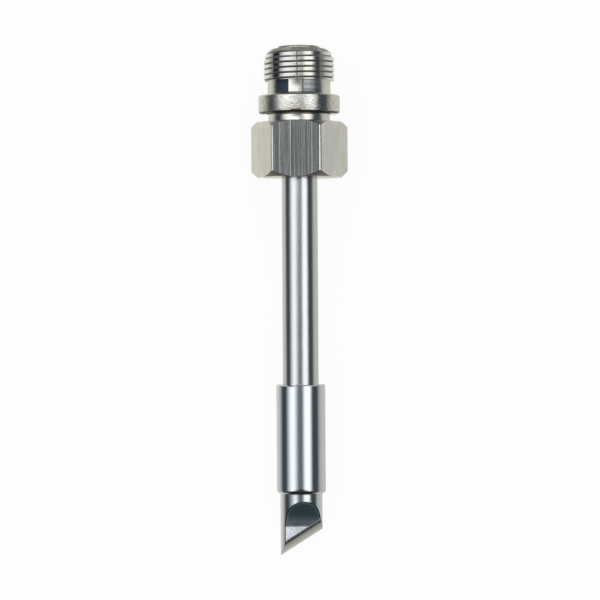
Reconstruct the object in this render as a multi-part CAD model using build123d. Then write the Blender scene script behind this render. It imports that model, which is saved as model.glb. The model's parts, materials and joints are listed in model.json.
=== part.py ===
from build123d import *
import os
from math import asin, atan2, cos, degrees, hypot, radians, sin, tan

# A screw-in knife-shaped soldering tip, in millimetres.
# Stations are distances along the tip from the end of its nose towards the knife point.

# Nose and fine thread of the union, M10 x 0.75, kept plain at its major diameter
nose_diameter = 6.0
nose_length = 0.4
nose_edge_break = 0.15
shoulder_diameter = 7.6
shoulder_length = 0.45
run_in_diameter = 9.0
run_in_length = 1.05
thread_diameter = 10.0
thread_pitch = 0.75
thread_length = 4.1
relief_undercut = 0.04
relief_length = 2.05

# Sealing collar, neck and spanner hexagon
collar_diameter = 11.6
collar_length = 2.6
collar_edge_break = 0.2
neck_diameter = 8.8
neck_length = 1.25
hex_across_flats = 12.0
hex_length = 7.85
hex_corner_radius = 0.2
hex_thread_side_cut = 0.78  # how far each chamfer cuts in from the bar's sharp corners
hex_tube_side_cut = 0.88
hex_chamfer_angle = 45.0
hex_chamfer_crown = 0.02  # how far the turned chamfers bulge from true cones

# Gas passage through the union
inlet_diameter = 3.2
inlet_countersink = 0.35

# Steel tube, with the lengths that stand in the union and in the knife bit
tube_diameter = 5.1
tube_wall = 0.35
tube_visible_length = 29.6
tube_in_union = 5.5
tube_in_sleeve = 4.0
braze_gap = 0.02

# Sleeve of the knife bit and the chamber in it
sleeve_diameter = 7.0
sleeve_length = 15.5
sleeve_mouth_break = 0.12
catalyst_length = 7.0
catalyst_clearance = 0.06
plenum_diameter = 4.0
plenum_length = 2.6
port_diameter = 1.6
port_turn = 112.0

# Knife ground on the round bit
bit_diameter = 6.0
bit_length = 8.8
blade_thickness = 3.0
blade_turn = 12.0
cutter_radius = 4.8
scoop_offset = 1.0
edge_slant = 31.7
bevel_width = 1.2

# Worked-out stations and radii
iso_thread_depth = 0.6134 * thread_pitch
relief_radius = thread_diameter / 2 - iso_thread_depth - relief_undercut
thread_start = nose_length + shoulder_length
thread_end = thread_start + thread_length
collar_start = thread_end + relief_length
neck_start = collar_start + collar_length
hex_start = neck_start + neck_length
hex_end = hex_start + hex_length
hex_corner = hex_across_flats / 2 / cos(radians(30))
sleeve_start = hex_end + tube_visible_length
step_station = sleeve_start + sleeve_length
sleeve_round = (sleeve_diameter - bit_diameter) / 2  # the rim's round runs right down to the bit
point_station = step_station + bit_length
catalyst_start = sleeve_start + tube_in_sleeve
plenum_start = catalyst_start + catalyst_length
tube_bore_diameter = tube_diameter - 2 * tube_wall
beyond = point_station  # long enough for any cut to pass right through


def turned(*outline):
    # Revolves (radius, station) points about the tip's axis, which runs along Y
    ends = [(0, -outline[0][1]), (0, -outline[-1][1])]
    points = [ends[0], *[(radius, -station) for radius, station in outline], ends[1]]
    profile = make_face(Polyline(*points, close=True))
    return revolve(profile, axis=Axis.Y)


def rod(diameter, start, end):
    return turned((diameter / 2, start), (diameter / 2, end))


def hexagon():
    # Bar with lightly rounded corners, both ends turned to chamfers that take the corners off
    section = fillet(RegularPolygon(hex_corner, 6).vertices(), hex_corner_radius)
    lying = Plane(origin=(0, -hex_start, 0), x_dir=(1, 0, 0), z_dir=(0, -1, 0))
    bar = extrude(lying * section, hex_length)
    slope = tan(radians(hex_chamfer_angle))
    rim_start = (hex_corner - hex_thread_side_cut, -hex_start)
    rim_end = (hex_corner - hex_tube_side_cut, -hex_end)
    edge_start = (hex_corner, -hex_start - hex_thread_side_cut * slope)
    edge_end = (hex_corner, -hex_end + hex_tube_side_cut * slope)
    axis_start, axis_end = (0, -hex_start), (0, -hex_end)
    outline = [
        Line(axis_start, rim_start),
        SagittaArc(rim_start, edge_start, hex_chamfer_crown),
        Line(edge_start, edge_end),
        SagittaArc(edge_end, rim_end, hex_chamfer_crown),
        Line(rim_end, axis_end),
        Line(axis_end, axis_start),
    ]
    return bar & revolve(make_face(outline), axis=Axis.Y)


def union_body():
    nose = nose_diameter / 2
    thread = thread_diameter / 2
    collar = collar_diameter / 2
    neck = neck_diameter / 2
    shank = turned(
        (nose - nose_edge_break, 0),
        (nose, nose_edge_break),
        (nose, nose_length),
        (shoulder_diameter / 2, nose_length),
        (run_in_diameter / 2, thread_start),
        (thread, thread_start + run_in_length),
        (thread, thread_end),
        (relief_radius, thread_end),
        (relief_radius, collar_start),
        (collar - collar_edge_break, collar_start),
        (collar, collar_start + collar_edge_break),
        (collar, neck_start - collar_edge_break),
        (collar - collar_edge_break, neck_start),
        (neck, neck_start),
        (neck, hex_start),
    )
    inlet = inlet_diameter / 2
    passage = turned(
        (inlet + inlet_countersink, 0),
        (inlet, inlet_countersink),
        (inlet, hex_end - tube_in_union),
    )
    socket = rod(tube_diameter + 2 * braze_gap, hex_end - tube_in_union, hex_end)
    return shank + hexagon() - passage - socket


def tube():
    start = hex_end - tube_in_union
    end = sleeve_start + tube_in_sleeve
    return rod(tube_diameter, start, end) - rod(tube_bore_diameter, start, end)


def scoop():
    # What one pass of the cutter takes off: a flat, and the cutter's own round at its end
    flat_level = blade_thickness / 2
    depth = bit_diameter / 2 - flat_level
    run_out = (2 * cutter_radius * depth - depth**2) ** 0.5
    flat_start = step_station + scoop_offset + run_out
    side = Plane(origin=(0, 0, 0), x_dir=(0, -1, 0), z_dir=(1, 0, 0))
    cutter = Pos(flat_start, -flat_level - cutter_radius) * Circle(cutter_radius)
    path = Pos(flat_start, -flat_level - cutter_radius) * Rectangle(
        beyond, 2 * cutter_radius, align=(Align.MIN, Align.CENTER)
    )
    return extrude(side * (cutter + path), bit_diameter, both=True)


def slanted_edge():
    # All that lies past the two bevels, which meet in a sharp edge across the knife
    across, along = cos(radians(edge_slant)), sin(radians(edge_slant))
    edge = Plane(
        origin=(-bit_diameter / 2, -point_station, 0),
        x_dir=(along, -across, 0),
        z_dir=(across, along, 0),
    )
    rise = beyond * (blade_thickness / 2) / bevel_width
    outline = Polyline(
        (0, 0), (-beyond, rise), (beyond, rise), (beyond, -rise), (-beyond, -rise), close=True
    )
    return extrude(edge * make_face(outline), beyond, both=True)


def knife():
    bar = rod(bit_diameter, step_station, point_station)
    front = scoop()
    back = Rot(0, 180, 0) * front
    return Rot(0, blade_turn, 0) * (bar - front - back - slanted_edge())


def sleeve():
    radius = sleeve_diameter / 2
    body = turned(
        (radius - sleeve_mouth_break, sleeve_start),
        (radius, sleeve_start + sleeve_mouth_break),
        (radius, step_station),
    )
    rim = body.edges().filter_by(GeomType.CIRCLE).sort_by(Axis.Y)[0]
    body = fillet(rim, sleeve_round)
    chamber = rod(tube_diameter + 2 * braze_gap, sleeve_start, plenum_start)
    plenum = rod(plenum_diameter, plenum_start, plenum_start + plenum_length)
    port_station = plenum_start + plenum_length / 2
    port = Pos(0, -port_station, 0) * Cylinder(
        port_diameter / 2, sleeve_diameter, align=(Align.CENTER, Align.CENTER, Align.MIN)
    )
    return body - chamber - plenum - Rot(0, port_turn, 0) * port


def knife_bit():
    return sleeve() + knife()


def catalyst():
    diameter = tube_diameter - 2 * catalyst_clearance
    return rod(diameter, catalyst_start, plenum_start)


def resting():
    # The tip lies on the tube-side end of one hexagon flat and on the sleeve's rounded rim
    flat_cut = max(0, hex_tube_side_cut - (hex_corner - hex_across_flats / 2))
    heel = (hex_end - flat_cut * tan(radians(hex_chamfer_angle)), hex_across_flats / 2)
    rim = (step_station - sleeve_round, sleeve_diameter / 2 - sleeve_round)
    run = rim[0] - heel[0]
    drop = heel[1] - rim[1]
    tilt = degrees(atan2(drop, run) - asin(sleeve_round / hypot(run, drop)))
    return Rot(tilt, 0, 0)


def main():
    pieces = {
        "union_body": union_body(),
        "tube": tube(),
        "knife_bit": knife_bit(),
        "catalyst": catalyst(),
    }
    laid = {name: resting() * piece for name, piece in pieces.items()}
    box = Compound(list(laid.values())).bounding_box()
    onto_floor = Pos(-box.center().X, -box.center().Y, -box.min.Z)
    os.makedirs("parts", exist_ok=True)
    for name, piece in laid.items():
        export_step(onto_floor * piece, f"parts/{name}.step")


main()
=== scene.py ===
import json
from math import atan, atan2, cos, degrees, pi, radians, sin, sqrt, tan

import bmesh
import bpy
from mathutils import Matrix, Vector


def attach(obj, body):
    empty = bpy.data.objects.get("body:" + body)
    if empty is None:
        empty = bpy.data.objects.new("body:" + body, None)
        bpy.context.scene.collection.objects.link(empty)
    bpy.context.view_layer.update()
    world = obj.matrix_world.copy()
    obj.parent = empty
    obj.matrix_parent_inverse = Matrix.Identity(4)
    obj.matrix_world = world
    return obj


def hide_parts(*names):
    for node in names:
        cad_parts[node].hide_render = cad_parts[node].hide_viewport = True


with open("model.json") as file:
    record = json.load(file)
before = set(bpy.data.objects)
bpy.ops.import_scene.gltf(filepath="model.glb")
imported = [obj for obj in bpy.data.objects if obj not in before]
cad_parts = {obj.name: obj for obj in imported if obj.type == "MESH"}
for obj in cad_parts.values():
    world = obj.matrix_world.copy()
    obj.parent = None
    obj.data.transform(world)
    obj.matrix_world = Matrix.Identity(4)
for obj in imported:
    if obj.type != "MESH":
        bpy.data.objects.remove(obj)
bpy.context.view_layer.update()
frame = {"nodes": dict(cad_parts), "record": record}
mm = 0.001
white = (1, 1, 1, 1)
sharpAngle = 28  # faces that meet at more degrees than this keep a sharp edge


def axesMatrix(axes, origin):
    # a matrix with three axes and an origin as its columns
    columns = [*axes, origin]
    return Matrix([[column[row] for column in columns] for row in range(3)] + [[0, 0, 0, 1]])


# The tip's own frame: x to the right, y along the tip towards the thread, z out of the top hexagon flat
mounts = {mount["name"]: mount for mount in frame["record"]["mounts"]}
tipAxis = Vector(mounts["thread"]["axis"]).normalized()
flatNormal = Vector(mounts["spanner_flat"]["axis"]).normalized()
sideways = tipAxis.cross(flatNormal).normalized()
inlet = mounts["gas_inlet"]
inletCountersink = 0.35
inletLength = inlet["dims"]["length_mm"]
noseEnd = Vector(inlet["pos_m"]) + tipAxis * (inletLength / 2 + inletCountersink) * mm
placing = axesMatrix([sideways * mm, tipAxis * mm, flatNormal * mm], noseEnd)


# Node maths

class Wire:
    # an output socket that takes part in Python sums
    def __init__(self, sheet, socket):
        self.sheet = sheet
        self.socket = socket

    def out(self, name):
        # another output of the same node
        return Wire(self.sheet, self.socket.node.outputs[name])

    def __add__(self, other):
        return self.sheet.sum("ADD", self, other)

    def __radd__(self, other):
        return self.sheet.sum("ADD", other, self)

    def __sub__(self, other):
        return self.sheet.sum("SUBTRACT", self, other)

    def __rsub__(self, other):
        return self.sheet.sum("SUBTRACT", other, self)

    def __mul__(self, other):
        return self.sheet.sum("MULTIPLY", self, other)

    def __rmul__(self, other):
        return self.sheet.sum("MULTIPLY", other, self)

    def __truediv__(self, other):
        return self.sheet.sum("DIVIDE", self, other)

    def __rtruediv__(self, other):
        return self.sheet.sum("DIVIDE", other, self)

    def __pow__(self, other):
        return self.sheet.sum("POWER", self, other)

    def __abs__(self):
        return self.sheet.sum("ABSOLUTE", self)


class NodeSheet:
    # the nodes of one material or of the world
    def __init__(self, tree):
        self.tree = tree
        tree.nodes.clear()

    def add(self, kind, settings={}, inputs={}, output=0):
        node = self.tree.nodes.new("ShaderNode" + kind)
        for name, value in settings.items():
            setattr(node, name, value)
        for name, value in inputs.items():
            if isinstance(value, Wire):
                self.tree.links.new(value.socket, node.inputs[name])
            else:
                node.inputs[name].default_value = value
        return Wire(self, node.outputs[output] if node.outputs else None)

    def sum(self, operation, *values):
        return self.add("Math", {"operation": operation}, dict(enumerate(values)))

    def blend(self, factor, first, second):
        inputs = {0: factor, 6: first, 7: second}
        return self.add("Mix", {"data_type": "RGBA"}, inputs, 2)

    def dot(self, vector, direction):
        settings = {"operation": "DOT_PRODUCT"}
        return self.add("VectorMath", settings, {0: vector, 1: direction}, 1)

    def spread(self, value, low, high):
        # eases from 0 to 1 as the input goes from low to high
        return self.add("MapRange", {"interpolation_type": "SMOOTHSTEP"}, {0: value, 1: low, 2: high})

    def within(self, value, low, high, blur=0.06):
        # 1 between two values, easing to 0 close to each
        return self.spread(value, low - blur, low + blur) * self.spread(value, high + blur, high - blur)

    def tipPlace(self):
        # millimetres to the right, along the tip from its nose, and up
        point = self.add("TexCoord", output="Object")
        moved = self.add("VectorMath", {"operation": "SUBTRACT"}, {0: point, 1: noseEnd})
        across = self.dot(moved, sideways / mm)
        station = self.dot(moved, -tipAxis / mm)
        up = self.dot(moved, flatNormal / mm)
        return across, station, up

    def upperSide(self, up):
        # 1 on the side that lies up, easing to 0 at the tip's middle
        return self.spread(up, 0, 1)

    def noise(self, place, scale, along, detail=3, roughness=0.5):
        # scale is how fine it is across the tip, and along how fine it is down its length
        across, station, up = place
        stretched = self.add("CombineXYZ", {}, {0: across * scale, 1: station * along, 2: up * scale})
        inputs = {"Vector": stretched, "Scale": 1, "Detail": detail, "Roughness": roughness}
        return self.add("TexNoise", {}, inputs)

    def bump(self, height, depth, normal=None):
        # depth is the height of a full step, in millimetres
        inputs = {"Strength": 1, "Distance": depth * mm, "Height": height}
        if normal:
            inputs["Normal"] = normal
        return self.add("Bump", {}, inputs)


def newMaterial(name):
    material = bpy.data.materials.new(name)
    material.use_nodes = True
    return material, NodeSheet(material.node_tree)


def finishMetal(sheet, look, colour, roughness, normal):
    inputs = {
        "Base Color": colour,
        "Metallic": 1,
        "Roughness": roughness,
        "Specular Tint": look["edgeTint"],
        "Normal": normal,
    }
    shader = sheet.add("BsdfPrincipled", {}, inputs)
    sheet.add("OutputMaterial", {}, {"Surface": shader})


# Looks of the union

def patch(across, stations, colour, roughness, lineShare=0):
    # painted light or shade on the upper side: a tint between two places across the tip and two along it
    return {
        "across": across,
        "stations": stations,
        "colour": (*colour, 1),
        "roughness": roughness,
        "lineShare": lineShare,
    }


# painted reflection: the thread's two sides lighter, where the floor shows in them
def threadSides(colour):
    return [patch((-9, -3.4), (0, 6), colour, 0.2), patch((3.2, 9), (0, 6), colour, 0.2)]


# A range of two values goes from where a tint is absent to where it is full
turnedLook = {
    "name": "turnedNickel",
    "colour": (0.76, 0.75, 0.70, 1),
    "stain": (0.66, 0.63, 0.54, 1),
    "stainRange": (0.45, 0.7),
    "worn": (0.84, 0.82, 0.76, 1),
    "wornRange": (0.53, 0.6),
    "dull": (0.46, 0.46, 0.44, 1),
    "dullRange": (0.58, 0.4),
    "speckle": 0.15,
    "grime": (0.16, 0.15, 0.13, 1),
    "grimeRange": (0.48, 0.42),
    "grimeScatter": 0.04,
    "edgeTint": (0.8, 0.8, 0.78, 1),
    "roughness": 0.13,
    "roughnessSpread": 0.1,
    "mottle": {"scale": 2.2, "along": 2.6, "detail": 4, "roughness": 0.6},
    "mottleDepth": 0.01,
    "rings": {"scale": 0.5, "along": 16, "detail": 2},
    "ringDepth": 0.004,
    "cloud": {"scale": 0.7, "along": 0.7},
    "lines": {"scale": 0.12, "along": 4.6, "detail": 1},
    "lineRange": (0.56, 0.42),
    "lineColour": (0.2, 0.21, 0.22, 1),
    "patches": [
        # painted shadow under the collar, running into the neck's round
        patch((-9, 9), (9.42, 9.75), (0.08, 0.07, 0.06), 0.3),
        # painted shade on the hexagon's chamfer on the tube side
        patch((-5, 5), (18, 19), (0.22, 0.21, 0.19), 0.1),
    ],
}
noseLook = {**turnedLook, "name": "noseNickel", "colour": (0.52, 0.51, 0.45, 1), "roughness": 0.5}
crestLook = {
    **turnedLook,
    "name": "crestNickel",
    "roughness": 0.06,
    "mottleDepth": 0.012,
    "speckle": 0.5,
    "patches": [
        # painted reflections down the crests: lighter sides, a dark band, a grey band and a thin dark
        # line
        *threadSides((0.96, 0.95, 0.92)),
        patch((-3.17, -2.42), (0, 6), (0.2, 0.23, 0.24), 0),
        patch((-2.42, 0.1), (0, 6), (0.6, 0.6, 0.6), 0.05),
        patch((0.02, 0.22), (0, 6), (0.2, 0.2, 0.2), 0.1),
    ],
}
# painted shade: the thread's flanks darker than the crests, with lighter sides
flankLook = {
    **turnedLook,
    "name": "flankNickel",
    "colour": (0.55, 0.53, 0.5, 1),
    "roughness": 0.35,
    "patches": threadSides((0.62, 0.61, 0.58)),
}
# painted shade: the thread's grooves darkest of all
grooveLook = {**flankLook, "name": "grooveNickel", "colour": (0.32, 0.3, 0.27, 1)}
collarLook = {
    **turnedLook,
    "name": "collarNickel",
    "roughness": 0.1,
    "mottleDepth": 0.03,
    "ringDepth": 0.02,
    "speckle": 0.3,
    "patches": [
        # painted shadow under the collar: a dark band round its lower edge, darkest and browner in the
        # middle
        patch((-0.7, 0.7), (9.24, 9.8), (0.14, 0.11, 0.1), 0.3),
        patch((-9, 9), (9.42, 9.8), (0.1, 0.09, 0.08), 0.2),
    ],
}
reliefLook = {
    **turnedLook,
    "name": "reliefNickel",
    "rings": {"scale": 0.5, "along": 6, "detail": 2},
    "mottleDepth": 0.004,
    "speckle": 0.05,
    "patches": [
        # painted reflections across the relief: a navy band, a dark band and two grey bands with fine
        # lines
        patch((-3.02, -1.15), (4, 8), (0.075, 0.1, 0.14), 0.5),
        patch((0.72, 1), (4, 8), (0.2, 0.2, 0.21), 0.3),
        patch((1, 2.35), (4, 8), (0.5, 0.51, 0.52), 0.2, 0.9),
        patch((2.35, 3.1), (4, 8), (0.6, 0.6, 0.58), 0.12, 0.7),
        # painted shade in the corner where the relief meets the collar
        patch((-3, 2.4), (6.7, 7.1), (0.2, 0.2, 0.2), 0.3),
    ],
}


def turnedNickel(look):
    # bright plating over turned brass: fine rings, a pebbled skin, wear on edges, darker colour in
    # hollow corners, and patches of painted light and shade
    material, sheet = newMaterial(look["name"])
    place = sheet.tipPlace()
    across, station, up = place
    mottle = sheet.noise(place, **look["mottle"])
    rings = sheet.noise(place, **look["rings"])
    cloud = sheet.noise(place, **look["cloud"])
    lines = sheet.spread(sheet.noise(place, **look["lines"]), *look["lineRange"])
    colour = sheet.blend(sheet.spread(cloud, *look["stainRange"]), look["colour"], look["stain"])
    dulled = sheet.spread(mottle, *look["dullRange"]) * look["speckle"]
    colour = sheet.blend(dulled, colour, look["dull"])
    roughness = look["roughness"] + mottle * look["roughnessSpread"]
    for mark in look["patches"]:
        inside = sheet.within(across, *mark["across"]) * sheet.within(station, *mark["stations"])
        inside = inside * sheet.upperSide(up)
        colour = sheet.blend(inside, colour, mark["colour"])
        roughness = roughness + inside * mark["roughness"]
        colour = sheet.blend(inside * lines * mark["lineShare"], colour, look["lineColour"])
    point = sheet.add("NewGeometry", output="Pointiness")
    colour = sheet.blend(sheet.spread(point, *look["wornRange"]), colour, look["worn"])
    # darker colour in hollow corners, where pointiness is low
    corner = point + mottle * look["grimeScatter"]
    colour = sheet.blend(sheet.spread(corner, *look["grimeRange"]), colour, look["grime"])
    normal = sheet.bump(mottle, look["mottleDepth"])
    normal = sheet.bump(rings, look["ringDepth"], normal)
    finishMetal(sheet, look, colour, roughness, normal)
    return material


drawnLook = {
    "colour": turnedLook["colour"],
    "stain": turnedLook["stain"],
    "stainRange": turnedLook["stainRange"],
    "stainShare": 0.5,
    "worn": turnedLook["worn"],
    "wornRange": (0.52, 0.58),
    "edgeTint": turnedLook["edgeTint"],
    "roughness": 0.04,
    "roughnessSpread": 0.05,
    "cloud": {"scale": 0.6, "along": 0.3},
    "fall": 0.05,
    "waves": {"scale": 0.9, "along": 0.03, "detail": 1},
    "waveDepth": 0.05,
    "streaks": {"scale": 6, "along": 0.1},
    "streakDepth": 0.016,
    "grain": {"scale": 7, "along": 5},
    "grainDepth": 0.009,
    "drawLines": [-2.25, -0.75, 2.3],
    "lineWidth": 0.12,
    "lineDepth": 0.008,
}


def drawnNickel():
    # the hexagon's flats keep the lines of the drawn bar
    look = drawnLook
    material, sheet = newMaterial("drawnNickel")
    place = sheet.tipPlace()
    across, station = place[:2]
    waves = sheet.noise(place, **look["waves"])
    streaks = sheet.noise(place, **look["streaks"])
    grain = sheet.noise(place, **look["grain"])
    cloud = sheet.noise(place, **look["cloud"])
    stained = sheet.spread(cloud, *look["stainRange"]) * look["stainShare"]
    colour = sheet.blend(stained, look["colour"], look["stain"])
    point = sheet.add("NewGeometry", output="Pointiness")
    colour = sheet.blend(sheet.spread(point, *look["wornRange"]), colour, look["worn"])
    roughness = look["roughness"] + streaks * look["roughnessSpread"]
    ridges = 0
    for middle in look["drawLines"]:
        ridges = sheet.spread(abs(across - middle), look["lineWidth"], 0) + ridges
    # the flats fall a little towards the tube, and are slightly wavy across
    normal = sheet.bump(station * -1, look["fall"])
    normal = sheet.bump(waves, look["waveDepth"], normal)
    normal = sheet.bump(streaks, look["streakDepth"], normal)
    normal = sheet.bump(grain, look["grainDepth"], normal)
    normal = sheet.bump(ridges, look["lineDepth"], normal)
    finishMetal(sheet, look, colour, roughness, normal)
    return material


# Look of the tube

steelLook = {
    "colour": (0.66, 0.66, 0.66, 1),
    "edgeTint": (0.7, 0.7, 0.7, 1),
    "roughness": 0.14,
    "roughnessSpread": 0.08,
    "waves": {"scale": 0.9, "along": 0.35, "detail": 2},
    "waveDepth": 0.008,
    "grain": {"scale": 9, "along": 0.6},
    "grainDepth": 0.004,
}


def drawnSteel():
    # plain bright tube with faint waves and a fine grain along it
    look = steelLook
    material, sheet = newMaterial("drawnSteel")
    place = sheet.tipPlace()
    waves = sheet.noise(place, **look["waves"])
    grain = sheet.noise(place, **look["grain"])
    roughness = look["roughness"] + grain * look["roughnessSpread"]
    normal = sheet.bump(waves, look["waveDepth"])
    normal = sheet.bump(grain, look["grainDepth"], normal)
    finishMetal(sheet, look, look["colour"], roughness, normal)
    return material


# Looks of the knife bit

sleeveLook = {
    "colour": (0.68, 0.71, 0.74, 1),
    "edgeTint": (0.8, 0.8, 0.8, 1),
    "roughness": 0.1,
    "roughnessSpread": 0.06,
    "grain": {"scale": 6, "along": 6, "detail": 4},
    "grainDepth": 0.003,
    "smear": (0.4, 0.43, 0.47, 1),
    "smearAcross": (-1.7, -0.9),
    "smearBlur": 0.4,
    "smearStart": (63.75, 63.85),
    "scorch": (0.15, 0.13, 0.13, 1),
    "scorchPeak": 62.8,
    "scorchAcross": 0.25,
    "scorchSlope": 0.33,
    "scorchRagged": 0.4,
    "scorchBlur": 0.3,
    "scorchSides": (2.2, 1.4),
    "scorchEnd": (64, 63.6),
    "markRoughness": 0.1,
}


def platedSleeve():
    look = sleeveLook
    material, sheet = newMaterial("platedSleeve")
    place = sheet.tipPlace()
    across, station, up = place
    grain = sheet.noise(place, **look["grain"])
    # a peaked scorch mark at the sleeve's end, and a smear on the round bit below it
    off = abs(across - look["scorchAcross"])
    ragged = (grain - 0.5) * look["scorchRagged"]
    depth = station - look["scorchPeak"] - off * look["scorchSlope"] + ragged
    scorch = sheet.spread(depth, 0, look["scorchBlur"]) * sheet.spread(station, *look["scorchEnd"])
    scorch = scorch * sheet.spread(off, *look["scorchSides"]) * sheet.upperSide(up)
    smear = sheet.within(across, *look["smearAcross"], look["smearBlur"])
    smear = smear * sheet.spread(station, *look["smearStart"]) * sheet.upperSide(up)
    colour = sheet.blend(smear, look["colour"], look["smear"])
    colour = sheet.blend(scorch, colour, look["scorch"])
    roughness = look["roughness"] + grain * look["roughnessSpread"]
    roughness = roughness + (smear + scorch) * look["markRoughness"]
    normal = sheet.bump(grain, look["grainDepth"])
    finishMetal(sheet, look, colour, roughness, normal)
    return material


groundLook = {
    "colour": sleeveLook["colour"],
    "edgeTint": sleeveLook["edgeTint"],
    "cloud": {"scale": 1.5, "along": 1.5},
    "smear": sleeveLook["smear"],
    "smearRange": (0.4, 0.7),
    "smearShare": 0.4,
    "roughness": 0.11,
    "roughnessSpread": 0.1,
    "strokes": {"scale": 12, "along": 3},
    "strokeDepth": 0.009,
    "pale": (0.86, 0.89, 0.95, 1),
    "paleAcross": (0.3, -2.1),
    "deep": (0.37, 0.45, 0.44, 1),
    "deepStations": (68.2, 66.2),
    "rim": (0.1, 0.12, 0.13, 1),
    "rimRadii": (2.85, 2.93),
    "dullRadii": (2.68, 2.86),
    "dullBlur": 0.04,
    "dullRoughness": 0.3,
    "lipStations": (68.5, 67.8),
    "lipDepth": 0.04,
}


def smeared(sheet, place, look, colour):
    # faint cloudy smears over the plating
    cloud = sheet.noise(place, **look["cloud"])
    share = sheet.spread(cloud, *look["smearRange"]) * look["smearShare"]
    return sheet.blend(share, colour, look["smear"])


def groundPlate():
    # the blade's two flats, each with the cutter's hollow at its start
    look = groundLook
    material, sheet = newMaterial("groundPlate")
    place = sheet.tipPlace()
    across, station, up = place
    strokes = sheet.noise(place, **look["strokes"])
    hollow = sheet.spread(station, *look["deepStations"])
    # painted sheen: the flats turn paler and bluer towards the left
    colour = sheet.blend(sheet.spread(across, *look["paleAcross"]), look["colour"], look["pale"])
    colour = smeared(sheet, place, look, colour)
    # painted shade: the cutter's hollow darker and greener
    colour = sheet.blend(hollow, colour, look["deep"])
    # a painted shadow line right round the ground faces, and in the hollow a dull one inside it
    radius = sheet.sum("SQRT", across * across + up * up)
    colour = sheet.blend(sheet.spread(radius, *look["rimRadii"]), colour, look["rim"])
    dull = sheet.within(radius, *look["dullRadii"], look["dullBlur"]) * hollow
    roughness = look["roughness"] + strokes * look["roughnessSpread"] + dull * look["dullRoughness"]
    # the flat's start turns down a little
    normal = sheet.bump(strokes, look["strokeDepth"])
    normal = sheet.bump(sheet.spread(station, *look["lipStations"]), look["lipDepth"], normal)
    finishMetal(sheet, look, colour, roughness, normal)
    return material


bevelLook = {
    **groundLook,
    "colour": (0.4, 0.41, 0.38, 1),
    "edge": (0.7, 0.7, 0.66, 1),
    "roughness": 0.3,
    "strokeDepth": 0.03,
}


def bevelPlate():
    # the two bevels, with a painted highlight that brightens them towards the slanted edge where they
    # meet
    look = bevelLook
    size = bitSize
    material, sheet = newMaterial("bevelPlate")
    place = sheet.tipPlace()
    across, station, up = place
    turn = radians(size["bladeTurn"])
    slant = radians(size["edgeSlant"])
    corner = across * cos(turn) - up * sin(turn) + size["bitRadius"]
    inward = (size["pointStation"] - station) * cos(slant) - corner * sin(slant)
    strokes = sheet.noise(place, **look["strokes"])
    colour = smeared(sheet, place, look, look["colour"])
    # painted highlight along the slanted edge
    colour = sheet.blend(sheet.spread(inward, size["bevelWidth"], 0), colour, look["edge"])
    roughness = look["roughness"] + strokes * look["roughnessSpread"]
    finishMetal(sheet, look, colour, roughness, sheet.bump(strokes, look["strokeDepth"]))
    return material


# Look of the catalyst

woolLook = {
    "dark": (0.30, 0.28, 0.26, 1),
    "light": (0.52, 0.50, 0.47, 1),
    "roughness": 0.9,
    "fibres": {"scale": 8, "along": 8, "detail": 4},
    "fibreDepth": 0.08,
}


def catalystWool():
    look = woolLook
    material, sheet = newMaterial("catalystWool")
    fibres = sheet.noise(sheet.tipPlace(), **look["fibres"])
    shader = sheet.add("BsdfPrincipled", {}, {
        "Base Color": sheet.blend(fibres, look["dark"], look["light"]),
        "Roughness": look["roughness"],
        "Normal": sheet.bump(fibres, look["fibreDepth"]),
    })
    sheet.add("OutputMaterial", {}, {"Surface": shader})
    return material


# Mesh helpers, in the tip's frame and in millimetres

def faceOutward(mesh):
    # turns every face of a closed mesh to look out
    shell = bmesh.new()
    shell.from_mesh(mesh)
    bmesh.ops.recalc_face_normals(shell, faces=shell.faces[:])
    shell.to_mesh(mesh)
    shell.free()


def newObject(name, data):
    made = bpy.data.objects.new(name, data)
    bpy.context.scene.collection.objects.link(made)
    return made


def closedMesh(name, points, faces, materials, faceKinds=None):
    mesh = bpy.data.meshes.new(name)
    mesh.from_pydata(points, [], faces)
    for material in materials:
        mesh.materials.append(material)
    if faceKinds:
        mesh.polygons.foreach_set("material_index", faceKinds)
    faceOutward(mesh)
    return mesh


def shadeSmooth(mesh):
    mesh.polygons.foreach_set("use_smooth", [True] * len(mesh.polygons))
    mesh.set_sharp_from_angle(angle=radians(sharpAngle))


def piece(name, points, faces, materials, faceKinds=None):
    placed = [placing @ Vector(point) for point in points]
    mesh = closedMesh(name, placed, faces, materials, faceKinds)
    shadeSmooth(mesh)
    return newObject(name, mesh)


def applied(made):
    # the object's mesh with its modifiers in it
    bpy.context.view_layer.update()
    return bpy.data.meshes.new_from_object(made.evaluated_get(bpy.context.evaluated_depsgraph_get()))


def atPlace(angle, radius, station):
    # angle runs from the top flat's normal towards the right
    return (radius * sin(angle), -station, radius * cos(angle))


def softened(corners, steps=4):
    # a turned outline from its corners, each a radius, a station and the small round that it gets
    outline = []
    for number, (radius, station, rounding) in enumerate(corners):
        here = Vector((radius, station))
        if rounding == 0:
            outline.append((radius, station))
            continue
        before = (Vector(corners[number - 1][:2]) - here).normalized()
        after = (Vector(corners[(number + 1) % len(corners)][:2]) - here).normalized()
        reach = rounding / tan(before.angle(after) / 2)
        first = here + before * reach
        last = here + after * reach
        for step in range(steps + 1):
            share = step / steps
            point = first.lerp(here, share).lerp(here.lerp(last, share), share)
            outline.append((point.x, point.y))
    return outline


def withoutRepeats(corners):
    # a face that closes on the axis, or where two rows meet, has fewer corners
    return list(dict.fromkeys(corners))


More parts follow.
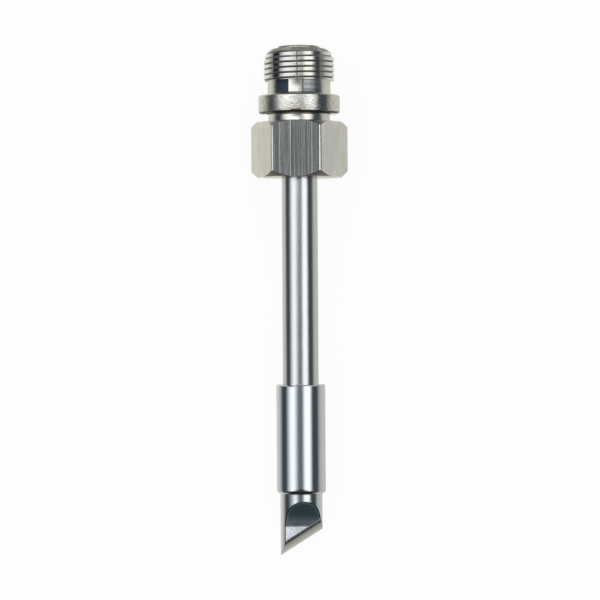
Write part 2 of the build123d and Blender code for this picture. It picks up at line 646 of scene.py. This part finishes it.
def turnedPiece(outline, angles):
    # points and faces of a closed outline turned about the axis; an outline end on the axis is one point
    points = []
    rows = []
    for radius, station in outline:
        if radius == 0:
            points.append((0, -station, 0))
            rows.append([len(points) - 1] * len(angles))
        else:
            rows.append(list(range(len(points), len(points) + len(angles))))
            points.extend(atPlace(angle, radius, station) for angle in angles)
    faces = []
    for row, following in zip(rows, rows[1:] + rows[:1]):
        for column in range(len(angles)):
            after = (column + 1) % len(angles)
            corners = withoutRepeats([row[column], row[after], following[after], following[column]])
            if len(corners) > 2:
                faces.append(corners)
    return points, faces


def evenAngles(count):
    return [2 * pi * number / count for number in range(count)]


# Union: nose, thread, collar, neck and hexagon, bored right through

unionSize = {
    "noseRadius": 3.0,
    "noseEdge": 0.15,
    "noseLength": 0.4,
    "shoulderRadius": 3.8,
    "threadStart": 0.85,
    "threadEnd": 4.95,
    "threadRadius": mounts["thread"]["dims"]["r_mm"],
    "runInRadius": 4.5,
    "runInLength": 1.05,
    "pitch": 0.75,
    "crestFlat": 0.45,
    "flankAngle": 30,
    "threadDepth": 0.25,
    "threadPhase": 0.57,
    "keysPerTurn": 20,
    "spareTurns": 3,  # so that every column has rows right to the thread's end
    "reliefRadius": 4.5,
    "reliefRound": 0.2,
    "collarStart": 7.0,
    "collarEnd": 9.6,
    "collarRadius": 5.8,
    "collarEdge": 0.2,
    "neckRadius": 4.4,
    "neckRound": 0.3,
    "hexStart": 10.85,
    "hexEnd": 18.7,
    "hexFlatRadius": 6.0,
    "hexCornerRounds": [0.45, 0.2, 0.2, 0.2, 0.2, 0.3],
    "threadSideCut": 0.78,
    "tubeSideCut": 0.88,
    "chamferCrown": 0.02,
    "chamferSteps": 5,
    "boreRadius": inlet["dims"]["r_mm"],
    "socketRadius": 2.57,
    "socketStart": 13.2,
    "edgeRound": 0.04,
    "flatColumns": 36,
    "flatRows": 6,
    "cornerColumns": 7,
    "mergeDigits": 5,  # points of a column that agree to this many decimals are one
}
sideTurn = pi / 3  # from the middle of one hexagon flat to the next
threadKinds = ["crest", "flank", "groove"]


def flatEdge(corner):
    # how far from a flat's middle its worn corner begins, as an angle
    flat = unionSize["hexFlatRadius"]
    rounding = unionSize["hexCornerRounds"][corner % 6]
    return atan((flat - rounding) * tan(sideTurn / 2) / flat)


def hexAngles():
    # columns close together round each corner, so that all of them bend there
    size = unionSize
    angles = []
    for side in range(6):
        middle = side * sideTurn
        first = flatEdge(side - 1)
        last = flatEdge(side)
        for step in range(size["flatColumns"]):
            angles.append(middle - first + (first + last) * step / size["flatColumns"])
        for step in range(size["cornerColumns"]):
            share = step / size["cornerColumns"]
            angles.append(middle + last + 2 * (sideTurn / 2 - last) * share)
    return angles


def hexRadius(angle):
    # from the axis to a flat, or to the worn corner between two
    flat = unionSize["hexFlatRadius"]
    corner = int(angle // sideTurn) % 6
    away = abs(angle % sideTurn - sideTurn / 2)
    if sideTurn / 2 - away < flatEdge(corner):
        return flat / cos(sideTurn / 2 - away)
    rounding = unionSize["hexCornerRounds"][corner]
    centre = (flat - rounding) / cos(sideTurn / 2)
    return centre * cos(away) + sqrt(rounding**2 - (centre * sin(away)) ** 2)


def chamferRows(outer, faceStation, cut, inward):
    # outline points up the turned chamfer; inward is 1 for the thread side and -1 for the tube side
    size = unionSize
    corner = size["hexFlatRadius"] / cos(sideTurn / 2)
    face = min(corner - cut, outer)
    rows = []
    for step in range(size["chamferSteps"] + 1):
        radius = face + (outer - face) * step / size["chamferSteps"]
        share = max(radius - corner + cut, 0) / cut
        # a parabola that stands out by the crown in the middle of the cut
        crown = size["chamferCrown"] * 4 * share * (1 - share)
        rows.append((radius, faceStation + inward * (share * cut - crown)))
    return rows


def threadRadius(angle, station):
    # the ridges grow along the run-in; also tells what kind of surface lies at the point
    size = unionSize
    pitch = size["pitch"]
    half = size["crestFlat"] / 2
    slope = tan(radians(size["flankAngle"]))
    lead = size["threadPhase"] - pitch * angle / (2 * pi)
    nearest = round((station - lead) / pitch)
    growth = (size["threadRadius"] - size["runInRadius"]) / size["runInLength"]
    heights = []
    for ridge in (nearest - 1, nearest, nearest + 1):
        middle = lead + ridge * pitch
        crest = size["runInRadius"] + growth * (middle - size["threadStart"])
        crest = min(max(crest, size["runInRadius"]), size["threadRadius"])
        heights.append(crest - max(abs(station - middle) - half, 0) / slope)
    root = size["runInRadius"] + growth * (station - size["threadStart"])
    root = min(root, size["threadRadius"]) - size["threadDepth"]
    offset = station - lead - nearest * pitch
    kind = "flank" if offset > 0 else "groove"
    return max(root, *heights), "crest" if abs(offset) < half else kind


def noseRows(angle):
    # from the bore, round the nose and up to the thread
    size = unionSize
    edge = size["edgeRound"]
    nose = size["noseRadius"]
    bore = size["boreRadius"]
    opening = bore + inletCountersink
    start = size["threadStart"]
    turned = softened([
        (bore, size["socketStart"], 0),
        (bore, inletCountersink, edge),
        (opening, 0, edge),
        (nose - size["noseEdge"], 0, edge),
        (nose, size["noseEdge"], edge),
        (nose, size["noseLength"], edge),
        (size["shoulderRadius"], size["noseLength"], edge),
        (threadRadius(angle, start)[0], start, 0),
    ])
    return [(radius, station, "nose" if radius > opening else "turned") for radius, station in turned]


def threadRows(angle):
    # rows that follow the helix, held back at the thread's two ends
    size = unionSize
    keys = size["keysPerTurn"]
    pitch = size["pitch"]
    turns = int((size["threadEnd"] - size["threadPhase"]) / pitch) + size["spareTurns"]
    rows = []
    for key in range(turns * keys + 1):
        station = size["threadPhase"] + pitch * (key / keys - 1 - angle / (2 * pi))
        station = min(max(station, size["threadStart"]), size["threadEnd"])
        kind = threadRadius(angle, station + pitch / keys / 2)[1]
        rows.append((threadRadius(angle, station)[0], station, kind))
    return rows


def waistRows(angle):
    # relief, collar and neck, up to the hexagon
    size = unionSize
    edge = size["edgeRound"]
    collar = size["collarRadius"]
    chamfer = size["collarEdge"]
    waist = softened([
        (threadRadius(angle, size["threadEnd"])[0], size["threadEnd"], 0),
        (size["reliefRadius"], size["threadEnd"], edge),
        (size["reliefRadius"], size["collarStart"], size["reliefRound"]),
        (collar - chamfer, size["collarStart"], edge),
        (collar, size["collarStart"] + chamfer, edge),
        (collar, size["collarEnd"] - chamfer, edge),
        (collar - chamfer, size["collarEnd"], edge),
        (size["neckRadius"], size["collarEnd"], size["neckRound"]),
        (size["neckRadius"], size["hexStart"], size["neckRound"]),
        (size["hexFlatRadius"], size["hexStart"], 0),
    ])
    rows = []
    for radius, station in waist[1:]:
        kind = "relief" if station < size["collarStart"] else "turned"
        rows.append((radius, station, "collar" if radius > collar - edge else kind))
    return rows


def hexRows(angle):
    # the hexagon with its two chamfers, and the socket for the tube
    size = unionSize
    outer = hexRadius(angle)
    upper = chamferRows(outer, size["hexStart"], size["threadSideCut"], 1)
    lower = chamferRows(outer, size["hexEnd"], size["tubeSideCut"], -1)
    low = upper[-1][1]
    high = lower[-1][1]
    flats = size["flatRows"]
    rows = [(*place, "turned") for place in upper[:-1]]
    rows += [(outer, low + (high - low) * step / flats, "drawn") for step in range(flats)]
    rows += [(*place, "turned") for place in reversed(lower)]
    rows.append((size["socketRadius"], size["hexEnd"], "turned"))
    rows.append((size["socketRadius"], size["socketStart"], "turned"))
    return rows


def unionColumn(angle):
    # the union's outline at one angle, with the kind of surface that follows each point
    return noseRows(angle) + threadRows(angle) + waistRows(angle) + hexRows(angle)


def makeUnion():
    size = unionSize
    surfaces = ["turned", "nose", *threadKinds, "relief", "collar", "drawn"]
    angles = hexAngles()
    columns = [unionColumn(angle) for angle in angles]
    points = []
    numbers = {}
    grid = []
    for column, angle in enumerate(angles):
        grid.append([])
        for radius, station, kind in columns[column]:
            key = (column, round(radius, size["mergeDigits"]), round(station, size["mergeDigits"]))
            if key not in numbers:
                numbers[key] = len(points)
                points.append(atPlace(angle, radius, station))
            grid[-1].append(numbers[key])
    rowCount = len(columns[0])
    threaded = [row for row in range(rowCount) if columns[0][row][2] in threadKinds]
    faces = []
    kinds = []
    for column in range(len(angles)):
        # the last column meets the first one turn of the thread further on
        after = (column + 1) % len(angles)
        shift = size["keysPerTurn"] if after == 0 else 0
        for row in range(rowCount):
            following = (row + 1) % rowCount
            across = [
                max(number - shift, threaded[0]) if number in threaded else number
                for number in (row, following)
            ]
            corners = withoutRepeats([
                grid[column][row],
                grid[after][across[0]],
                grid[after][across[1]],
                grid[column][following],
            ])
            if len(corners) > 2:
                faces.append(corners)
                kinds.append(surfaces.index(columns[column][row][2]))
    looks = [turnedLook, noseLook, crestLook, flankLook, grooveLook, reliefLook, collarLook]
    materials = [turnedNickel(look) for look in looks]
    made = piece("unionBody", points, faces, [*materials, drawnNickel()], kinds)
    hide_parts("union_body")
    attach(made, "root")
    print("union", len(faces), "faces")


# Steel tube

tubeSize = {
    "radius": 2.55,
    "boreRadius": 2.2,
    "start": unionSize["socketStart"],
    "end": 52.3,
    "columns": 128,
    "rowLength": 1.0,
}


def makeTube():
    size = tubeSize
    length = size["end"] - size["start"]
    rows = int(length / size["rowLength"])
    stations = [size["start"] + length * row / rows for row in range(rows + 1)]
    outline = [(size["radius"], station) for station in stations]
    outline += [(size["boreRadius"], station) for station in reversed(stations)]
    points, faces = turnedPiece(outline, evenAngles(size["columns"]))
    made = piece("steelTube", points, faces, [drawnSteel()])
    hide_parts("tube")
    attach(made, "root")
    print("tube", len(faces), "faces")


# Knife bit: sleeve and ground blade in one piece

bitSize = {
    "sleeveRadius": 3.5,
    "sleeveStart": 48.3,
    "mouthBreak": 0.12,
    "mouthWaves": [(3, 0.03, 0.4), (7, 0.05, 1.2), (13, 0.04, 2.0)],  # waves round, height, phase
    "mouthInner": 0.2,
    "boreRadius": 2.57,
    "plenumStart": 59.3,
    "plenumRadius": 2.0,
    "plenumEnd": 61.9,
    "portRadius": 0.8,
    "portTurn": 112,
    "portMiddle": 2.5,
    "portHalf": 1.8,
    "portSides": 48,
    "stepStation": 63.8,
    "bitRadius": 3.0,
    "pointStation": 72.6,
    "edgeRound": 0.03,
    "bladeHalf": 1.5,
    "bladeTurn": 12,
    "cutterRadius": 4.8,
    "cutterHalf": 4,
    "cutterOverrun": 1,
    "scoopOffset": 1.0,
    "edgeSlant": 31.7,
    "edgeReach": 8,
    "edgeHalf": 12,
    "bevelWidth": 1.2,
    "bevelRound": 0.75,
    "bevelSteps": 8,
    "columns": 192,
    "arcSteps": 64,
    "rimSteps": 12,
}


def prism(name, outline, toPlace, half, material):
    # a closed prism over an outline, from -half to half, with its points placed by toPlace
    points = [toPlace(*place, -half) for place in outline] + [toPlace(*place, half) for place in outline]
    count = len(outline)
    faces = [list(reversed(range(count))), list(range(count, 2 * count))]
    for number in range(count):
        after = (number + 1) % count
        faces.append([number, after, after + count, number + count])
    return newObject(name, closedMesh(name, points, faces, [material]))


def turnedBlade(x, y, z):
    # turns a point of the blade about the tip's axis
    turn = radians(bitSize["bladeTurn"])
    return (x * cos(turn) + z * sin(turn), y, z * cos(turn) - x * sin(turn))


def scoopCutter(side, material):
    # one pass of a round cutter, which leaves a flat and the cutter's own hollow
    size = bitSize
    level = size["bladeHalf"]
    radius = size["cutterRadius"]
    depth = size["bitRadius"] - level
    flatStart = size["stepStation"] + size["scoopOffset"] + sqrt(2 * radius * depth - depth**2)
    passEnd = size["pointStation"] + size["cutterOverrun"]
    outline = [(passEnd, level), (passEnd, level + radius)]
    for step in range(size["arcSteps"] + 1):
        turn = pi / 2 * step / size["arcSteps"]
        outline.append((flatStart - radius * cos(turn), level + radius - radius * sin(turn)))

    def toPlace(station, height, across):
        return turnedBlade(across * side, -station, height * side)

    return prism("scoopCutter", outline, toPlace, size["cutterHalf"], material)


def edgeCutter(material):
    # all that lies past the two bevels
    size = bitSize
    slant = radians(size["edgeSlant"])
    reach = size["edgeReach"]
    half = size["bladeHalf"]
    corners = [(0, 0, 0), (-size["bevelWidth"], half, size["bevelRound"]), (-reach, half, 0)]
    upper = softened(corners, size["bevelSteps"])[:-1]
    outline = [*upper, (-reach, reach), (reach, reach), (reach, -reach), (-reach, -reach)]
    outline += [(back, -height) for back, height in reversed(upper[1:])]

    def toPlace(back, height, along):
        x = -size["bitRadius"] + back * sin(slant) + along * cos(slant)
        y = -size["pointStation"] - back * cos(slant) + along * sin(slant)
        return turnedBlade(x, y, height)

    return prism("edgeCutter", outline, toPlace, size["edgeHalf"], material)


def portCutter(material):
    # the exhaust port, out of one side of the plenum
    size = bitSize
    station = (size["plenumStart"] + size["plenumEnd"]) / 2
    turn = radians(size["portTurn"])
    radius = size["portRadius"]
    outline = [(radius * cos(angle), radius * sin(angle)) for angle in evenAngles(size["portSides"])]

    def toPlace(along, across, out):
        out = out + size["portMiddle"]
        x = out * sin(turn) + across * cos(turn)
        z = out * cos(turn) - across * sin(turn)
        return (x, along - station, z)

    return prism("portCutter", outline, toPlace, size["portHalf"], material)


def unevenMouth(point):
    # moves the outer edge of the sleeve's mouth in and out a little, as a rolled edge is left
    size = bitSize
    mouthEnd = size["sleeveStart"] + size["mouthBreak"] + size["edgeRound"]
    if -point.y > mouthEnd or point.xz.length < size["boreRadius"] + size["mouthInner"]:
        return point
    angle = atan2(point.x, point.z)
    lift = sum(height * sin(waves * angle + phase) for waves, height, phase in size["mouthWaves"])
    return point + Vector((0, lift, 0))


def bitBlank(material):
    # the sleeve and the round bit before any grinding
    size = bitSize
    edge = size["edgeRound"]
    sleeve = size["sleeveRadius"]
    mouth = size["mouthBreak"]
    drop = sleeve - size["bitRadius"]
    rimStart = size["stepStation"] - drop
    outline = softened([
        (0, size["plenumEnd"], 0),
        (size["plenumRadius"], size["plenumEnd"], 0),
        (size["plenumRadius"], size["plenumStart"], 0),
        (size["boreRadius"], size["plenumStart"], 0),
        (size["boreRadius"], size["sleeveStart"], 0),
        (sleeve - mouth, size["sleeveStart"], edge),
        (sleeve, size["sleeveStart"] + mouth, edge),
        (sleeve, rimStart, 0),
    ])
    for step in range(1, size["rimSteps"] + 1):
        turn = pi / 2 * step / size["rimSteps"]
        outline.append((size["bitRadius"] + drop * cos(turn), rimStart + drop * sin(turn)))
    outline += [(size["bitRadius"], size["pointStation"]), (0, size["pointStation"])]
    points, faces = turnedPiece(outline, evenAngles(size["columns"]))
    points = [unevenMouth(Vector(point)) for point in points]
    return newObject("bitBlank", closedMesh("bitBlank", points, faces, [material]))


def makeKnifeBit():
    plate = platedSleeve()
    ground = groundPlate()
    bevel = bevelPlate()
    blank = bitBlank(plate)
    cutters = [scoopCutter(1, ground), scoopCutter(-1, ground), edgeCutter(bevel), portCutter(plate)]
    for cutter in cutters:
        cut = blank.modifiers.new(cutter.name, "BOOLEAN")
        cut.operation = "DIFFERENCE"
        cut.solver = "EXACT"
        cut.material_mode = "TRANSFER"
        cut.object = cutter
    cutMesh = applied(blank)
    for used in [blank, *cutters]:
        bpy.data.objects.remove(used)
    cutMesh.transform(placing)
    shadeSmooth(cutMesh)
    made = newObject("knifeBit", cutMesh)
    shading = made.modifiers.new("evenShading", "WEIGHTED_NORMAL")
    shading.keep_sharp = True
    made.data = applied(made)
    made.modifiers.clear()
    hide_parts("knife_bit")
    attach(made, "root")
    print("knife bit", len(made.data.polygons), "faces")


def dressCatalyst():
    # the plug keeps its solid's own shape
    materials = frame["nodes"]["catalyst"].data.materials
    materials.clear()
    materials.append(catalystWool())
    print("catalyst dressed")


# Camera, floor and light

# In millimetres and degrees, with the picture's scale in pixels to the millimetre
cameraPlace = {
    "distance": 400,
    "aimStation": 36.2,
    "aimAcross": -0.037,
    "turn": 4.4,
    "roll": 0.34,
    "scale": 7.0,
    "imageSize": 600,
    "sensor": 36,
    "clipStart": 10,
}


def cameraAxes():
    # towards the camera, and to its right before it rolls
    turn = radians(cameraPlace["turn"])
    back = flatNormal * cos(turn) + sideways * sin(turn)
    right = sideways * cos(turn) - flatNormal * sin(turn)
    return back, right


def makeCamera():
    place = cameraPlace
    roll = radians(place["roll"])
    back, right = cameraAxes()
    up = tipAxis * cos(roll) + right * sin(roll)
    right = up.cross(back)
    target = noseEnd - tipAxis * place["aimStation"] * mm + right * place["aimAcross"] * mm
    data = bpy.data.cameras.new("camera")
    data.sensor_width = place["sensor"]
    data.lens = place["distance"] * place["scale"] / place["imageSize"] * place["sensor"]
    data.clip_start = place["clipStart"] * mm
    camera = newObject("camera", data)
    camera.matrix_world = axesMatrix([right, up, back], target + back * place["distance"] * mm)
    bpy.context.scene.camera = camera
    print("camera")


floorLook = {
    "half": 3.0,
    "white": 0.92,
    "paper": (0.95, 0.95, 0.95, 1),
    "reflected": (1, 1, 0.94, 1),
    "left": {"level": 1.12, "reach": 4.6, "power": 1.7},
    "right": {"level": 1.05, "reach": 5.5, "power": 0.8},
    "middleBlend": (-1, 1),
    "endFade": 12,
}


def floorGlow(away, side):
    # the floor's glow as reflections see it, a painted pool of light that fades with the distance from
    # the tip, in steps of its height
    return side["level"] / (1 + (away / side["reach"]) ** side["power"])


def makeFloor():
    look = floorLook
    half = look["half"]
    mesh = bpy.data.meshes.new("floor")
    corners = [(-half, -half, 0), (half, -half, 0), (half, half, 0), (-half, half, 0)]
    mesh.from_pydata(corners, [], [(0, 1, 2, 3)])
    floor = newObject("floor", mesh)
    material, sheet = newMaterial("paper")
    across, station, up = sheet.tipPlace()
    path = sheet.add("LightPath", output="Is Camera Ray")
    seen = sheet.sum("MAXIMUM", path, path.out("Is Transmission Ray"))
    # for reflections only, the floor glows warm, brightest beside the tip and fading past its ends: a
    # painted pool of light
    away = abs(across / up)
    left = floorGlow(away, look["left"])
    right = floorGlow(away, look["right"])
    middle = bitSize["pointStation"] / 2
    beyond = sheet.sum("MAXIMUM", abs(station - middle) - middle, 0) / look["endFade"]
    reflected = left + (right - left) * sheet.spread(across, *look["middleBlend"])
    reflected = reflected / (1 + beyond * beyond)
    level = seen + (1 - seen) * reflected
    tint = sheet.blend(seen, look["reflected"], white)
    glow = sheet.add("Emission", {}, {"Color": tint, "Strength": level})
    paper = sheet.add("BsdfDiffuse", {}, {"Color": look["paper"]})
    share = sheet.sum("MAXIMUM", seen, path.out("Is Glossy Ray")) * look["white"]
    shader = sheet.add("MixShader", {}, {0: share, 1: paper, 2: glow})
    sheet.add("OutputMaterial", {}, {"Surface": shader})
    mesh.materials.append(material)
    print("floor")


# Ranges are in degrees round the tip from the camera's side, or up along it towards the thread end
studio = {
    "plainLevel": 0.95,
    "roomColour": (0.054, 0.072, 0.088, 1),
    "driftAlong": (3.5, 4.1),
    "leftBox": {"outer": (-78, -42), "inner": (-8, -38), "drift": 26, "level": 1.38},
    "rightBox": {"outer": (59, 37), "inner": (2, 24), "drift": 4, "level": 1.45},
    "lowEnd": (-7.8, -6.2),
    "highEnd": (68, 52),
    "frontMiddle": -6,
    "frontReach": (46, 4),
    "frontLowEnd": (-40, -8),
    "frontLevel": 0.1,
    "rightGlow": (76, 100),
    "rightGlowLevel": 0.25,
}


def lightBox(sheet, bearing, drift, box):
    # a soft-edged light seen by angle round the tip; its inner edge drifts towards the thread end
    outer = sheet.spread(bearing, *box["outer"])
    inner = sheet.spread(bearing - drift * box["drift"], *box["inner"])
    return outer * inner * box["level"]


def makeWorld():
    world = bpy.data.worlds.new("studio")
    bpy.context.scene.world = world
    world.use_nodes = True
    sheet = NodeSheet(world.node_tree)
    ahead, right = cameraAxes()
    way = sheet.add("TexCoord", output="Generated")
    bearing = sheet.sum("ARCTAN2", sheet.dot(way, right), sheet.dot(way, ahead)) * degrees(1)
    along = sheet.sum("ARCSINE", sheet.dot(way, tipAxis)) * degrees(1)
    drift = sheet.spread(along, *studio["driftAlong"])
    boxes = [lightBox(sheet, bearing, drift, studio[side]) for side in ("leftBox", "rightBox")]
    ends = sheet.spread(along, *studio["lowEnd"]) * sheet.spread(along, *studio["highEnd"])
    front = sheet.spread(abs(bearing - studio["frontMiddle"]), *studio["frontReach"])
    front = front * sheet.spread(along, *studio["frontLowEnd"]) * studio["frontLevel"]
    glow = sheet.spread(bearing, *studio["rightGlow"]) * studio["rightGlowLevel"]
    lit = (boxes[0] + boxes[1]) * ends + front + glow
    room = sheet.add("Background", {}, {"Color": studio["roomColour"], "Strength": 1})
    lights = sheet.add("Background", {}, {"Color": white, "Strength": lit})
    reflected = sheet.add("AddShader", {}, {0: room, 1: lights})
    plain = sheet.add("Background", {}, {"Color": white, "Strength": studio["plainLevel"]})
    backdrop = sheet.add("Background", {}, {"Color": white, "Strength": 1})
    path = sheet.add("LightPath", output="Is Glossy Ray")
    seen = sheet.sum("MAXIMUM", path.out("Is Camera Ray"), path.out("Is Transmission Ray"))
    shader = sheet.add("MixShader", {}, {0: path, 1: plain, 2: reflected})
    shader = sheet.add("MixShader", {}, {0: seen, 1: shader, 2: backdrop})
    sheet.add("OutputWorld", {}, {"Surface": shader})
    print("light")


makeUnion()
makeTube()
makeKnifeBit()
dressCatalyst()
makeCamera()
makeFloor()
makeWorld()
bpy.context.scene.view_settings.view_transform = "Standard"
